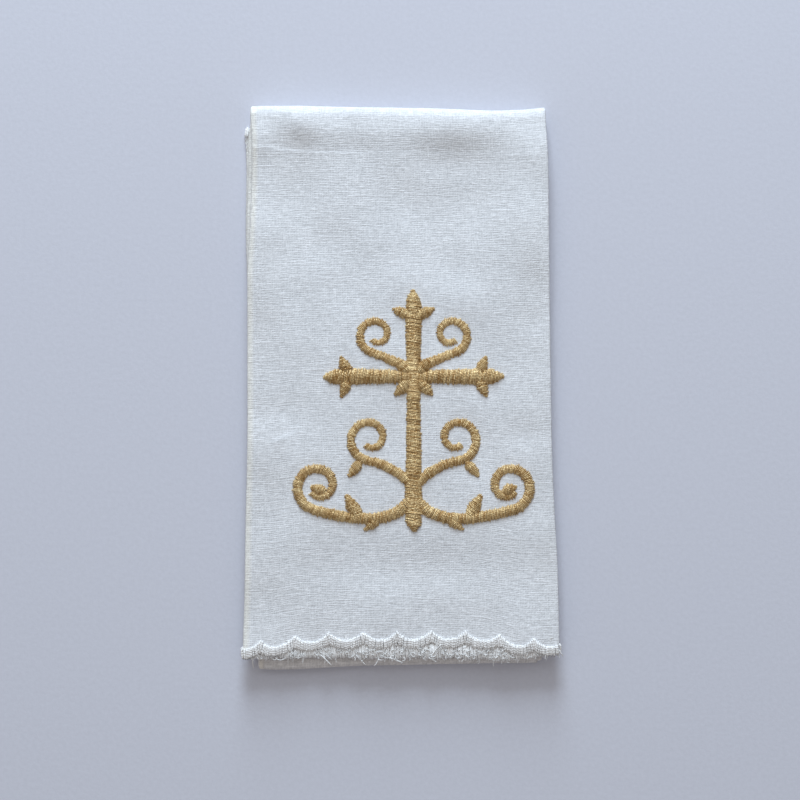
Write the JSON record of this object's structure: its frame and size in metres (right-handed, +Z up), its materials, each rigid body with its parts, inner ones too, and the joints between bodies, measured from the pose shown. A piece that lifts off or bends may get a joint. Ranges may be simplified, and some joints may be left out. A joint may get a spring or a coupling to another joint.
{
  "type": "purificator",
  "caption": "White linen purificator folded in thirds both ways, with a scalloped satin-stitch edge and a gold embroidered cross with scrolls.",
  "frame": {"origin": "middle of the box that holds the folded cloth, on the surface it lies on", "axes": "+Y from the front scalloped end to the top fold, along the folded cloth's length; +Z up, through its layers"},
  "size_m": [0.085, 0.1526, 0.0067],
  "materials": {
    "white_linen": "plain woven linen, pressed, with a soft matt surface and white satin stitch along its edge",
    "gold_thread": "satin stitch in gold thread with a fine metallic glint"
  },
  "bodies": {
    "root": {"folded_cloth": "white_linen", "gold_embroidery": "gold_thread"}
  },
  "joints": []
}
